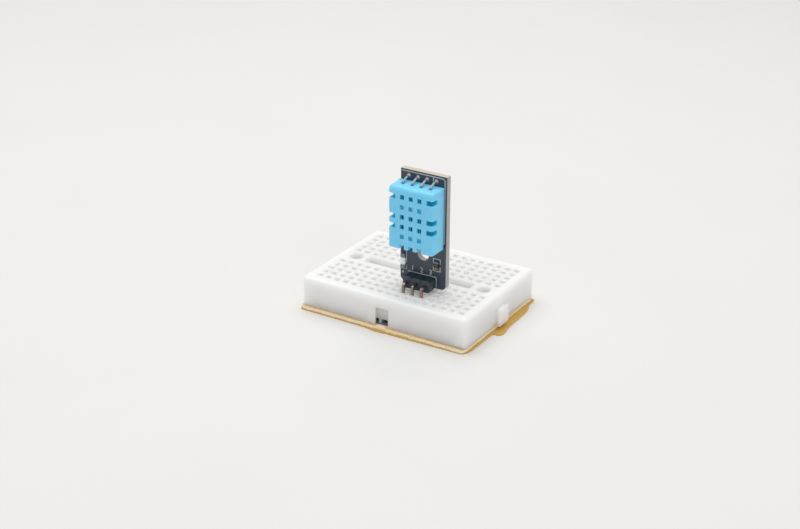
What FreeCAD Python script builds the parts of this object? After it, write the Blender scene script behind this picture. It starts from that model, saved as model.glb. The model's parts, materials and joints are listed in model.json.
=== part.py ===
"""Humidity sensor module plugged into a small white tie-point board.

The frame's origin is the centre of the hole grid on the underside of the
release liner. +X runs along the board, +Y from the front (slotted) side to the
back, +Z up. All sizes are in millimetres.
"""

import FreeCAD, Part
import os
import Sketcher
from math import cos, radians, sin

doc = FreeCAD.newDocument("humidity_sensor")
sheet = doc.addObject("Spreadsheet::Sheet", "dims")

# Driving sizes

SIZES = [
    # hole grid of the tie-point board
    ("pitch", 2.54, "spacing of tie holes, header pins and sensor leads"),
    ("grid_columns", 17, "tie-hole columns"),
    ("grid_rows", 5, "tie-hole rows on each side of the channel"),
    ("row_gap", 7.62, "between the two inner rows, across the channel"),
    ("hole_size", 1.15, "square shaft of a tie hole"),
    ("mouth_size", 1.95, "square mouth of a tie hole"),
    ("mouth_depth", 0.45, "depth of the sloping mouth"),
    # white moulding
    ("board_length", 46.9, "along X"),
    ("board_width", 34.9, "along Y"),
    ("board_height", 7.9, "white moulding alone"),
    ("board_corner", 0.9, "radius of the upright corners"),
    ("board_edge", 0.8, "radius round the top edge"),
    ("top_skin", 1.7, "plastic above the contact cells"),
    ("cell_width", 1.9, "contact cell across a column"),
    ("cell_margin", 1.0, "cell beyond the centre of its end holes"),
    ("channel_length", 30.8, "centre channel"),
    ("channel_width", 3.1, "centre channel"),
    ("channel_depth", 3.0, "centre channel"),
    ("screw_spacing", 37.2, "between the two screw holes"),
    ("screw_bore", 2.2, "screw hole diameter"),
    ("screw_mouth", 3.6, "diameter of the recess for the screw head"),
    ("screw_mouth_depth", 1.6, "depth of that recess"),
    # keys and slots that lock boards side by side
    ("key_reach", 1.13, "how far a key stands out"),
    ("key_base", 3.5, "key width at the wall"),
    ("key_tip", 4.5, "key width at its tip"),
    ("key_drop", 3.3, "key top below the board top"),
    ("slot_clearance", 0.1, "slot wider than the key on each side"),
    ("slot_depth", 1.3, "slot into the wall"),
    ("slot_drop", 3.0, "slot top below the board top"),
    ("groove_height", 1.3, "coring groove under the long walls"),
    ("groove_width", 1.1, "coring groove under the long walls"),
    ("groove_wall", 0.85, "outer wall beside the groove"),
    ("groove_start", 4.4, "grooves stop this far from the keys and slots"),
    ("groove_length", 15.6, "coring groove under the long walls"),
    ("window_height", 1.3, "windows from the slot into the cells behind it"),
    ("window_reach", 1.3, "windows behind the slot's end wall"),
    # adhesive foam and liner
    ("foam_thickness", 0.9, "double-sided foam"),
    ("foam_proud", 0.2, "foam beyond the moulding"),
    ("foam_shift", 0.25, "foam off centre, towards the front and the left"),
    ("liner_thickness", 0.25, "release paper"),
    ("liner_margin", 0.5, "liner beyond the moulding"),
    ("liner_corner", 1.2, "rounding of the liner's corners"),
    ("liner_front", 1.15, "flap below the front slot"),
    ("liner_front_width", 5.2, "flap below the front slot"),
    ("liner_front_shift", -1.0, "that flap from the middle"),
    ("liner_front_end", 0.8, "liner between that flap and the front right corner"),
    ("liner_flap", 2.75, "flap below the right key"),
    ("liner_flap_width", 3.2, "flap below the right key"),
    ("liner_flap_shift", -3.0, "that flap from the middle"),
    ("liner_side", 2.0, "liner behind that flap"),
    ("liner_side_end", 11.5, "end of that run from the middle"),
    ("liner_chord", 0.04, "how far a cut edge leaves the smooth line"),
    # contact clips
    ("clip_width", 1.6, "over both walls"),
    ("clip_metal", 0.22, "sheet thickness"),
    ("clip_margin", 0.9, "clip beyond the centre of its end holes"),
    ("clip_height", 5.8, "tips of the fingers, where they meet the pin"),
    ("clip_gap", 0.3, "between the tips of empty fingers"),
    ("finger_width", 1.5, "along the clip"),
    # header
    ("header_pins", 3, "ways"),
    ("header_column", 2, "columns from the grid centre to the middle pin"),
    ("header_row", 3, "rows outward from the inner row to the pins"),
    ("header_rise", 0.1, "insulator above the tie-point board"),
    ("header_height", 3.2, "insulator"),
    ("header_depth", 2.6, "insulator out of the circuit board"),
    ("header_notch", 0.4, "cut corners of each way"),
    ("pin_size", 0.64, "square wire"),
    ("pin_reach", 4.33, "circuit board face to upright pin"),
    ("pin_depth", 4.6, "pin tip below the tie-point board's top"),
    ("pin_tail", 1.4, "pin beyond the back of the circuit board"),
    ("pin_bend", 0.3, "inner radius of the bend"),
    ("pin_clearance", 0.03, "between pin and sprung finger, each side"),
    # circuit board
    ("card_width", 12.85, "along X"),
    ("card_height", 29.55, "along Z"),
    ("card_thickness", 1.6, "along Y"),
    ("card_rise", 0.65, "lower edge above the tie-point board"),
    ("card_shift", 0.4, "card centre right of the header"),
    ("card_corner", 1.2, "radius of the lower corners"),
    ("card_hole", 3.2, "mounting hole diameter"),
    ("card_hole_height", 8.85, "mounting hole above the tie-point board"),
    ("card_hole_shift", 0.42, "mounting hole right of the header"),
    ("pin_hole", 1.0, "plated hole for a header pin"),
    ("lead_hole", 0.8, "plated hole for a sensor lead"),
    ("lead_margin", 1.6, "lead holes below the card's upper edge"),
    # sensor housing
    ("sensor_width", 12.4, "along X"),
    ("sensor_height", 15.9, "along Z"),
    ("sensor_depth", 5.3, "back of the plate to the grille"),
    ("sensor_drop", 1.05, "housing below the lead holes"),
    ("sensor_gap", 0.2, "housing off the circuit board"),
    ("cover_wall", 0.9, "moulded wall"),
    ("cover_round", 1.2, "radius of the upper front edge"),
    ("cover_side_round", 0.6, "radius of the side edges"),
    ("plate_thickness", 0.8, "rim of the back plate"),
    ("plug_depth", 0.7, "raised part that fits in the cover"),
    ("plug_clearance", 0.05, "between the raised part and the cover"),
    ("vent_size", 1.15, "square vent"),
    ("vent_columns", 3, "vents across"),
    ("vent_rows", 5, "vents up"),
    ("vent_pitch_across", 2.4, "vent columns"),
    ("vent_pitch_up", 2.55, "vent rows"),
    ("vent_rise", 0.35, "vent block above the housing's middle"),
    ("blind_depth", 0.5, "dimples in the rows without a corner vent"),
    ("notch_height", 1.25, "vent cut through a front corner"),
    ("notch_width", 1.9, "into the front face"),
    ("notch_depth", 2.2, "into the side"),
    ("foot_notch_height", 1.05, "vent through the lower edge"),
    ("foot_notch_width", 1.25, "vent through the lower edge"),
    ("foot_notch_depth", 2.3, "vent through the lower edge, from the front"),
    # inside the housing
    ("sensing_width", 9.6, "sensing board along X"),
    ("sensing_height", 12.6, "sensing board along Z"),
    ("sensing_thickness", 0.8, "sensing board along Y"),
    ("sensing_standoff", 1.2, "ribs between plate and sensing board"),
    ("rib_width", 0.8, "ribs on the back plate"),
    ("rib_spacing", 8.4, "between rib centres"),
    ("element_width", 7.4, "humidity plate along X"),
    ("element_height", 6.4, "humidity plate along Z"),
    ("element_thickness", 0.6, "humidity plate along Y"),
    ("element_drop", 1.6, "humidity plate below the middle"),
    ("comb_teeth", 5, "fingers of each electrode"),
    ("comb_line", 0.32, "width of an electrode line"),
    ("comb_pitch", 1.28, "between fingers of one electrode"),
    ("comb_margin", 0.45, "bare edge round the electrodes"),
    ("comb_thickness", 0.05, "printed electrode"),
    ("bead_radius", 0.4, "thermistor bead"),
    ("bead_length", 1.9, "thermistor bead"),
    ("bead_rise", 3.9, "thermistor above the middle"),
    ("chip_radius", 2.0, "epoxy over the chip"),
    ("chip_top", 1.2, "radius of the epoxy's flat top"),
    ("chip_height", 0.8, "epoxy over the chip"),
    ("lead_ways", 4, "sensor leads"),
    ("lead_width", 0.5, "flat lead"),
    ("lead_thickness", 0.25, "flat lead"),
    ("lead_overlap", 2.0, "lead on the sensing board"),
    ("lead_stand", 0.35, "upright lead above the housing"),
    ("lead_tail", 1.0, "lead beyond the back of the circuit board"),
    ("lead_slot", 0.2, "clearance of the slot in the cover"),
    # solder and small parts on the circuit board
    ("joint_radius", 0.85, "solder cone on a pad"),
    ("joint_height", 0.8, "solder cone behind the circuit board"),
    ("dome_height", 0.45, "solder on the front of a lead pad"),
    ("resistor_width", 1.25, "across"),
    ("resistor_length", 2.0, "with its terminals"),
    ("resistor_thickness", 0.5, "off the card"),
    ("resistor_terminal", 0.4, "length of each terminal"),
    ("resistor_shift", 4.25, "right of the header"),
    ("resistor_rise", 6.9, "above the tie-point board"),
    ("lamp_width", 1.25, "across"),
    ("lamp_length", 4.0, "with its terminals"),
    ("lamp_thickness", 0.65, "off the card"),
    ("lamp_terminal", 1.05, "length of each terminal"),
    ("lamp_shift", -5.13, "from the header, negative to the left"),
    ("lamp_rise", 6.0, "above the tie-point board"),
]

for row, (alias, number, meaning) in enumerate(SIZES, start=1):
    sheet.set(f"A{row}", str(number))
    sheet.setAlias(f"A{row}", alias)
    sheet.set(f"B{row}", meaning)
doc.recompute()

# Levels and places that several pieces share, as expressions

FOAM_TOP = "(dims.liner_thickness + dims.foam_thickness)"
BOARD_TOP = f"({FOAM_TOP} + dims.board_height)"
INNER_ROW = "(dims.row_gap / 2)"
ROW_RUN = "((dims.grid_rows - 1) * dims.pitch)"
COLUMN_RUN = "((dims.grid_columns - 1) * dims.pitch)"
CELL_CEILING = "(dims.board_height - dims.top_skin)"
HEADER_X = "(dims.header_column * dims.pitch)"
PIN_ROW_Y = f"(-{INNER_ROW} - dims.header_row * dims.pitch)"
CARD_FACE_Y = f"({PIN_ROW_Y} + dims.pin_reach)"
PIN_HEIGHT = "(dims.header_rise + dims.header_height / 2)"
HEADER_RUN = "((dims.header_pins - 1) * dims.pitch)"
LEAD_RUN = "((dims.lead_ways - 1) * dims.pitch)"
LEAD_ROW = "(dims.card_rise + dims.card_height - dims.lead_margin)"
COVER_BACK_Y = "(-dims.sensor_gap - dims.plate_thickness)"
COVER_FRONT_Y = "(-dims.sensor_gap - dims.sensor_depth)"
SENSOR_TOP = f"({LEAD_ROW} - dims.sensor_drop)"
SENSOR_MIDDLE = f"({SENSOR_TOP} - dims.sensor_height / 2)"
SENSING_BACK_Y = f"({COVER_BACK_Y} - dims.plug_depth - dims.sensing_standoff)"
SENSING_FRONT_Y = f"({SENSING_BACK_Y} - dims.sensing_thickness)"
ELEMENT_FRONT_Y = f"({SENSING_FRONT_Y} - dims.element_thickness)"
ELEMENT_MIDDLE = f"({SENSOR_MIDDLE} - dims.element_drop)"
LEAD_Y = f"({SENSING_BACK_Y} + dims.lead_thickness / 2)"

pieces = []


def number(expression):
    """The value that an expression has in the sheet, as a plain number."""
    result = sheet.evalExpression(str(expression))
    return float(getattr(result, "Value", result))


def piece(kind, name, at=("0", "0", "0")):
    """A named sub-part, standing at a place in the part's frame."""
    item = doc.addObject(kind, name)
    item.Label = name
    for axis, place in zip("xyz", at):
        item.setExpression(f"Placement.Base.{axis}", place)
    return item


def kept(item):
    """Puts a sub-part on the list of pieces that are written out."""
    pieces.append(item)
    return item


def module_body(name):
    """A body of the sensor module: x from the middle pin, y from the card's face, z from the board top."""
    return kept(piece("PartDesign::Body", name, (HEADER_X, CARD_FACE_Y, BOARD_TOP)))


def origin_of(body, role):
    """One of the body's own origin planes or axes."""
    return next(item for item in body.Origin.OriginFeatures if item.Role == role)


def sketch_on(body, name, role, level="0", up="0"):
    """A sketch parallel to an origin plane, at a level along X, Y or Z, with its own axis raised by up."""
    drawing = body.newObject("Sketcher::SketchObject", name)
    drawing.AttachmentSupport = [(origin_of(body, role), "")]
    drawing.MapMode = "FlatFace"
    sign = "-" if role == "XZ_Plane" else ""
    drawing.setExpression("AttachmentOffset.Base.z", f"{sign}({level})")
    drawing.setExpression("AttachmentOffset.Base.y", up)
    return drawing


def hold_point(drawing, geometry, position, x, y):
    """Fixes a point of a sketch by two expressions."""
    for kind, expression in (("DistanceX", x), ("DistanceY", y)):
        rule = Sketcher.Constraint(kind, -1, 1, geometry, position, number(expression))
        drawing.setExpression(f"Constraints[{drawing.addConstraint(rule)}]", str(expression))


def polygon(drawing, corners):
    """A closed outline of straight edges through corners given as expressions."""
    first = drawing.GeometryCount
    points = [FreeCAD.Vector(number(x), number(y), 0) for x, y in corners]
    count = len(points)
    for i in range(count):
        drawing.addGeometry(Part.LineSegment(points[i], points[(i + 1) % count]), False)
    for i in range(count):
        drawing.addConstraint(Sketcher.Constraint("Coincident", first + i, 2, first + (i + 1) % count, 1))
    for i, (x, y) in enumerate(corners):
        hold_point(drawing, first + i, 1, x, y)


def rectangle(drawing, x, y, width, height):
    """A rectangle about a centre."""
    left, right = f"{x} - {width} / 2", f"{x} + {width} / 2"
    low, high = f"{y} - {height} / 2", f"{y} + {height} / 2"
    polygon(drawing, [(left, low), (right, low), (right, high), (left, high)])


def circle(drawing, x, y, diameter):
    """A circle about a centre."""
    centre = FreeCAD.Vector(number(x), number(y), 0)
    normal = FreeCAD.Vector(0, 0, 1)
    index = drawing.addGeometry(Part.Circle(centre, normal, number(diameter) / 2), False)
    hold_point(drawing, index, 3, x, y)
    rule = drawing.addConstraint(Sketcher.Constraint("Diameter", index, number(diameter)))
    drawing.setExpression(f"Constraints[{rule}]", diameter)


def feature(body, kind, drawing, length, reverse=False, middle=False):
    """A pad or pocket of a sketch."""
    item = body.newObject(f"PartDesign::{kind}", f"{drawing.Name}_{kind.lower()}")
    item.Profile = drawing
    item.setExpression("Length", length)
    item.Reversed = reverse
    item.Midplane = middle
    item.Refine = False
    drawing.Visibility = False
    doc.recompute()
    return item


def pad(body, drawing, length, **options):
    """Adds material along the sketch's normal."""
    return feature(body, "Pad", drawing, length, **options)


def pocket(body, drawing, length, **options):
    """Removes material and makes sure that something was cut."""
    before = body.Tip.Shape.Volume
    item = feature(body, "Pocket", drawing, length, **options)
    if item.Shape.Volume > before - 1e-6:
        raise RuntimeError(f"{item.Name} cuts nothing")
    return item


def repeat(body, original, axis, spacing, count):
    """Repeats a feature along one of the body's origin axes."""
    item = body.newObject("PartDesign::LinearPattern", f"{original.Name}_row")
    item.Originals = [original]
    item.Direction = (origin_of(body, axis), [""])
    item.Mode = "Spacing"
    item.setExpression("Offset", spacing)
    item.setExpression("Occurrences", count)
    item.Refine = False
    body.Tip = item
    doc.recompute()
    return item


def edges(item, along, **places):
    """Names of the straight edges along one axis whose middles lie at the given coordinates."""
    names = []
    for index, edge in enumerate(item.Shape.Edges, start=1):
        if edge.Curve.TypeId != "Part::GeomLine":
            continue
        direction = edge.tangentAt(edge.FirstParameter)
        if abs(abs(getattr(direction, along)) - 1) > 1e-6:
            continue
        middle = edge.CenterOfMass
        if all(abs(getattr(middle, axis) - place) < 1e-4 for axis, place in places.items()):
            names.append(f"Edge{index}")
    return names


def rounded(body, names, radius, kind="Fillet"):
    """Rounds or bevels edges of the body's last feature."""
    base = body.Tip
    item = body.newObject(f"PartDesign::{kind}", f"{body.Name}_{kind.lower()}")
    item.Base = (base, names)
    item.setExpression("Radius" if kind == "Fillet" else "Size", radius)
    item.Refine = False
    doc.recompute()
    return item


def flat_sided(low, high):
    """A solid with flat sides between two parallel outlines that have the same number of corners."""
    count = len(low)
    sides = [[low[i], low[(i + 1) % count], high[(i + 1) % count], high[i]] for i in range(count)]
    faces = [Part.Face(Part.makePolygon(side + side[:1])) for side in [low, high] + sides]
    shell = Part.Shell(faces)
    shell.sewShape()
    solid = Part.Solid(shell)
    if solid.Volume < 0:
        solid.reverse()
    return solid


# White moulding of the tie-point board

def board_body():
    """The moulding, solid at first, then keyed, grooved, cored and pierced."""
    shell = piece("PartDesign::Body", "board_moulding", ("0", "0", FOAM_TOP))
    plan = sketch_on(shell, "plan", "XY_Plane")
    rectangle(plan, "0", "0", "dims.board_length", "dims.board_width")
    block = pad(shell, plan, "dims.board_height")
    rounded(shell, edges(block, "z"), "dims.board_corner")
    top = number("dims.board_height")
    rim = [
        f"Edge{index}"
        for index, edge in enumerate(shell.Tip.Shape.Edges, start=1)
        if abs(edge.BoundBox.ZMin - top) < 1e-6
    ]
    rounded(shell, rim, "dims.board_edge")

    # A dovetail key on the right and back walls, its slot in the left and front ones
    half_length, half_width = "dims.board_length / 2", "dims.board_width / 2"
    base, tip = "dims.key_base / 2", "dims.key_tip / 2"
    key_height = "dims.board_height - dims.key_drop"
    reach = "dims.key_reach"
    root = "dims.board_corner"
    right_key = sketch_on(shell, "right_key", "XY_Plane")
    polygon(right_key, [
        (f"{half_length} - {root}", f"-({base})"),
        (half_length, f"-({base})"),
        (f"{half_length} + {reach}", f"-({tip})"),
        (f"{half_length} + {reach}", tip),
        (half_length, base),
        (f"{half_length} - {root}", base),
    ])
    pad(shell, right_key, key_height)
    back_key = sketch_on(shell, "back_key", "XY_Plane")
    polygon(back_key, [
        (f"-({base})", f"{half_width} - {root}"),
        (base, f"{half_width} - {root}"),
        (base, half_width),
        (tip, f"{half_width} + {reach}"),
        (f"-({tip})", f"{half_width} + {reach}"),
        (f"-({base})", half_width),
    ])
    pad(shell, back_key, key_height)
    slot_mouth = "(dims.key_base / 2 + dims.slot_clearance)"
    slot_inner = "(dims.key_tip / 2 + dims.slot_clearance)"
    slot_height = "dims.board_height - dims.slot_drop"
    depth = "dims.slot_depth"
    front_slot = sketch_on(shell, "front_slot", "XY_Plane")
    polygon(front_slot, [
        (f"-{slot_mouth}", f"-{half_width} - {reach}"),
        (slot_mouth, f"-{half_width} - {reach}"),
        (slot_mouth, f"-{half_width}"),
        (slot_inner, f"-{half_width} + {depth}"),
        (f"-{slot_inner}", f"-{half_width} + {depth}"),
        (f"-{slot_mouth}", f"-{half_width}"),
    ])
    pocket(shell, front_slot, slot_height, reverse=True)
    left_slot = sketch_on(shell, "left_slot", "XY_Plane")
    polygon(left_slot, [
        (f"-{half_length} - {reach}", f"-{slot_mouth}"),
        (f"-{half_length}", f"-{slot_mouth}"),
        (f"-{half_length} + {depth}", f"-{slot_inner}"),
        (f"-{half_length} + {depth}", slot_inner),
        (f"-{half_length}", slot_mouth),
        (f"-{half_length} - {reach}", slot_mouth),
    ])
    pocket(shell, left_slot, slot_height, reverse=True)

    # Coring grooves under the long walls, and windows between the front slot and the cells behind it
    grooves = sketch_on(shell, "grooves", "XY_Plane")
    groove_x = "(dims.groove_start + dims.groove_length / 2)"
    groove_y = "(dims.board_width / 2 - dims.groove_wall - dims.groove_width / 2)"
    for end in ("-", ""):
        for side in ("-", ""):
            rectangle(grooves, f"{end}{groove_x}", f"{side}{groove_y}",
                      "dims.groove_length", "dims.groove_width")
    pocket(shell, grooves, "dims.groove_height", reverse=True)
    windows = sketch_on(shell, "windows", "XY_Plane")
    window_y = f"(-{half_width} + dims.slot_depth + dims.window_reach / 2)"
    for cell in (-1, 0, 1):
        rectangle(windows, f"({cell} * dims.pitch)", window_y, "dims.cell_width", "dims.window_reach")
    pocket(shell, windows, "dims.window_height", reverse=True)

    # Centre channel and the two recessed screw holes
    channel = sketch_on(shell, "channel", "XY_Plane", "dims.board_height")
    rectangle(channel, "0", "0", "dims.channel_length", "dims.channel_width")
    pocket(shell, channel, "dims.channel_depth")
    mouths = sketch_on(shell, "screw_mouths", "XY_Plane", "dims.board_height")
    bores = sketch_on(shell, "screw_bores", "XY_Plane", "dims.board_height")
    for side in ("-", ""):
        circle(mouths, f"{side}dims.screw_spacing / 2", "0", "dims.screw_mouth")
        circle(bores, f"{side}dims.screw_spacing / 2", "0", "dims.screw_bore")
    pocket(shell, mouths, "dims.screw_mouth_depth")
    pocket(shell, bores, "dims.board_height")

    # One contact cell under each column of holes on each side of the channel
    cells = sketch_on(shell, "cells", "XY_Plane")
    first_x = f"(-{COLUMN_RUN} / 2)"
    cell_y = f"({INNER_ROW} + {ROW_RUN} / 2)"
    for side in ("-", ""):
        rectangle(cells, first_x, f"{side}{cell_y}", "dims.cell_width", f"({ROW_RUN} + 2 * dims.cell_margin)")
    hollow = pocket(shell, cells, CELL_CEILING, reverse=True)
    repeat(shell, hollow, "X_Axis", "dims.pitch", "dims.grid_columns")

    # Square shaft and sloping mouth of every tie hole, cut in one go
    shaft, mouth = number("dims.hole_size") / 2, number("dims.mouth_size") / 2
    slope, skin = number("dims.mouth_depth"), number("dims.top_skin")
    pitch, inner = number("dims.pitch"), number(INNER_ROW)

    def square(half, z):
        corners = [(-half, -half), (half, -half), (half, half), (-half, half)]
        return [FreeCAD.Vector(x, y, z) for x, y in corners]

    hole = flat_sided(square(shaft, -skin), square(shaft, -slope))
    hole = hole.fuse(flat_sided(square(shaft, -slope), square(mouth, 0)))
    holes = []
    for column in range(int(number("dims.grid_columns"))):
        x = number(first_x) + column * pitch
        for row in range(int(number("dims.grid_rows"))):
            for side in (-1, 1):
                copy = hole.copy()
                copy.translate(FreeCAD.Vector(x, side * (inner + row * pitch), 0))
                holes.append(copy)
    grid = doc.addObject("Part::Feature", "tie_holes")
    grid.Shape = Part.makeCompound(holes)
    grid.setExpression("Placement.Base.z", BOARD_TOP)
    moulding = kept(piece("Part::Cut", "board_body"))
    moulding.Base = shell
    moulding.Tool = grid
    moulding.Refine = False
    doc.recompute()


# Foam and liner under the moulding

def foam_pad():
    """Double-sided foam, cut a little larger than the moulding and stuck on a little askew."""
    place = ("-dims.foam_shift", "-dims.foam_shift", "dims.liner_thickness")
    body = kept(piece("PartDesign::Body", "foam_pad", place))
    plan = sketch_on(body, "foam_plan", "XY_Plane")
    rectangle(plan, "0", "0", "(dims.board_length + 2 * dims.foam_proud)",
              "(dims.board_width + 2 * dims.foam_proud)")
    sheet_of_foam = pad(body, plan, "dims.foam_thickness")
    rounded(body, edges(sheet_of_foam, "z"), "dims.board_corner + dims.foam_proud")


def release_liner():
    """Paper liner, cut a little unevenly, with flaps below the slot and the right key."""
    right, back = number("dims.board_length / 2"), number("dims.board_width / 2")
    margin, corner = number("dims.liner_margin"), number("dims.liner_corner")
    left_edge, front_edge, back_edge = -right - margin, -back - margin, back + margin
    slot_reach, slot_half = -back - number("dims.liner_front"), number("dims.liner_front_width / 2")
    slot_x, front_end = number("dims.liner_front_shift"), -back - number("dims.liner_front_end")
    flap_x, flap_half = right + number("dims.liner_flap"), number("dims.liner_flap_width / 2")
    flap_y, side_x = number("dims.liner_flap_shift"), right + number("dims.liner_side")
    side_end = number("dims.liner_side_end")
    route = [
        (left_edge, corner - back), (left_edge, front_edge), (corner - right, front_edge),
        (slot_x - slot_half, front_edge), (slot_x - slot_half + corner, slot_reach),
        (slot_x + slot_half - corner, slot_reach), (slot_x + slot_half, front_end),
        (right - 2 * corner, front_edge), (right, margin / 2 - back), (right + margin, 2 * corner - back),
        (right + margin, flap_y - 3 * flap_half), (right + margin, flap_y - flap_half - corner / 2),
        (right + margin, flap_y - flap_half), (flap_x, flap_y - flap_half), (flap_x, flap_y + flap_half),
        (side_x, flap_y + 2 * flap_half), (side_x, side_end), (right + margin, side_end + 2 * corner),
        (right + margin, back - corner), (right + margin, back_edge), (right - corner, back_edge),
        (corner - right, back_edge), (left_edge, back_edge), (left_edge, back - corner),
    ]
    rim = Part.BSplineCurve()
    rim.buildFromPoles([FreeCAD.Vector(x, y, 0) for x, y in route], True, 2)
    cuts = rim.toShape().discretize(Deflection=number("dims.liner_chord"))
    paper = Part.Face(Part.makePolygon(cuts[:-1] + cuts[:1]))
    liner = doc.addObject("Part::Feature", "release_liner")
    liner.Label = "release_liner"
    liner.Shape = paper.extrude(FreeCAD.Vector(0, 0, number("dims.liner_thickness")))
    kept(liner)


# Spring clips in the contact cells

def finger_points(gap, side):
    """Outline of one finger from its root to its tip and back, for the given gap between tips."""
    outer, metal = "dims.clip_width / 2", "dims.clip_metal"
    route = [
        (outer, metal), (f"({gap} / 2 + {metal})", "dims.clip_height"),
        (f"{gap} / 2", "dims.clip_height"), (f"({outer} - {metal})", metal),
    ]
    return [(f"{side}({x})", z) for x, z in route]


def contact_clips(name, side, first_column, count, pin_row=None):
    """Clips in neighbouring cells: a strip folded up into one pair of fingers at each hole."""
    x = f"({first_column} * dims.pitch)"
    middle = f"({side}({INNER_ROW} + {ROW_RUN} / 2))"
    body = kept(piece("PartDesign::Body", name, (x, middle, FOAM_TOP)))
    length = f"({ROW_RUN} + 2 * dims.clip_margin)"
    fold = sketch_on(body, f"{name}_fold", "XZ_Plane")
    right = finger_points("dims.clip_gap", "")
    left = finger_points("dims.clip_gap", "-")
    outer = "dims.clip_width / 2"
    profile = [(f"-({outer})", "0"), (outer, "0")] + right + left[::-1]
    polygon(fold, profile)
    strip = pad(body, fold, length, middle=True)
    if number(count) > 1:
        repeat(body, strip, "X_Axis", "dims.pitch", count)
    slots = sketch_on(body, f"{name}_slots", "YZ_Plane", "-dims.clip_width / 2")
    gap = "(dims.pitch - dims.finger_width)"
    head = "(dims.clip_height - dims.clip_metal)"
    level = "(dims.clip_metal + dims.clip_height) / 2"
    for slot in range(int(number("dims.grid_rows")) - 1):
        rectangle(slots, f"({slot} - (dims.grid_rows - 2) / 2) * dims.pitch", level, gap, head)
    pocket(body, slots, f"{count} * dims.pitch", reverse=True)
    if pin_row is None:
        return
    # The pair on the pin is pressed apart to the pin's width
    row_y = f"({pin_row} - {middle})"
    taken = sketch_on(body, f"{name}_taken", "YZ_Plane", "-dims.clip_width / 2")
    rectangle(taken, row_y, level, "dims.finger_width", head)
    pocket(body, taken, "dims.clip_width", reverse=True)
    spread = "(dims.pin_size + 2 * dims.pin_clearance)"
    open_pair = sketch_on(body, f"{name}_open", "XZ_Plane", f"{row_y} + dims.finger_width / 2")
    polygon(open_pair, finger_points(spread, ""))
    polygon(open_pair, finger_points(spread, "-"))
    pad(body, open_pair, "dims.finger_width")


def all_clips():
    """Three clips hold the header's pins, the rest are empty."""
    last = "(dims.grid_columns - 1) / 2"
    first_pin = "dims.header_column - (dims.header_pins - 1) / 2"
    after_pin = "dims.header_column + (dims.header_pins + 1) / 2"
    for way in range(int(number("dims.header_pins"))):
        contact_clips(f"engaged_clip_{way + 1}", "-", f"({first_pin} + {way})", "1", PIN_ROW_Y)
    contact_clips("front_clips_left", "-", f"(-{last})", f"({last} + {first_pin})")
    contact_clips("front_clips_right", "-", f"({after_pin})", f"({last} - ({after_pin}) + 1)")
    contact_clips("rear_clips", "", f"(-{last})", "dims.grid_columns")


# Header between the circuit board and the tie-point board

def header_insulator():
    """Three eight-sided ways moulded in one block, pierced by the pins."""
    body = module_body("header_insulator")
    face = sketch_on(body, "insulator_face", "XZ_Plane")
    low, high = "dims.header_rise", "(dims.header_rise + dims.header_height)"
    notch = "dims.header_notch"
    below, above = [], []
    ways = int(number("dims.header_pins"))
    for way in range(ways):
        left = f"(({way} - dims.header_pins / 2) * dims.pitch)"
        right = f"(({way + 1} - dims.header_pins / 2) * dims.pitch)"
        below += [(f"{left} + {notch}", low), (f"{right} - {notch}", low), (right, f"{low} + {notch}")]
        above += [(f"{left} + {notch}", high), (f"{right} - {notch}", high), (right, f"{high} - {notch}")]
    start = "(-dims.header_pins / 2 * dims.pitch)"
    outline = [(start, f"{low} + {notch}")] + below + above[::-1] + [(start, f"{high} - {notch}")]
    polygon(face, outline)
    pad(body, face, "dims.header_depth")
    hole = sketch_on(body, "insulator_hole", "XZ_Plane")
    rectangle(hole, f"(-{HEADER_RUN} / 2)", PIN_HEIGHT, "dims.pin_size", "dims.pin_size")
    bore = pocket(body, hole, "dims.header_depth", reverse=True)
    repeat(body, bore, "X_Axis", "dims.pitch", "dims.header_pins")


def header_pin(way):
    """Square wire from behind the circuit board through the insulator, bent down into a clip."""
    body = kept(piece("PartDesign::Body", f"header_pin_{way + 1}",
                      (f"{HEADER_X} - {HEADER_RUN} / 2 + {way} * dims.pitch", CARD_FACE_Y, BOARD_TOP)))
    side = sketch_on(body, f"pin_side_{way + 1}", "YZ_Plane")
    half = "dims.pin_size / 2"
    tail = "(dims.card_thickness + dims.pin_tail)"
    over, under = f"({PIN_HEIGHT} + {half})", f"({PIN_HEIGHT} - {half})"
    front, back = f"(-dims.pin_reach - {half})", f"(-dims.pin_reach + {half})"
    polygon(side, [(tail, under), (tail, over), (front, over), (front, "-dims.pin_depth"),
                   (back, "-dims.pin_depth"), (back, under)])
    wire = pad(body, side, "dims.pin_size", middle=True)
    bend_out = edges(wire, "x", y=number(front), z=number(over))
    rounded(body, bend_out, "dims.pin_bend + dims.pin_size")
    bend_in = edges(body.Tip, "x", y=number(back), z=number(under))
    rounded(body, bend_in, "dims.pin_bend")
    tip = edges(body.Tip, "x", z=-number("dims.pin_depth"))
    tip += edges(body.Tip, "y", z=-number("dims.pin_depth"))
    rounded(body, tip, "dims.pin_size / 4", kind="Chamfer")


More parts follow.
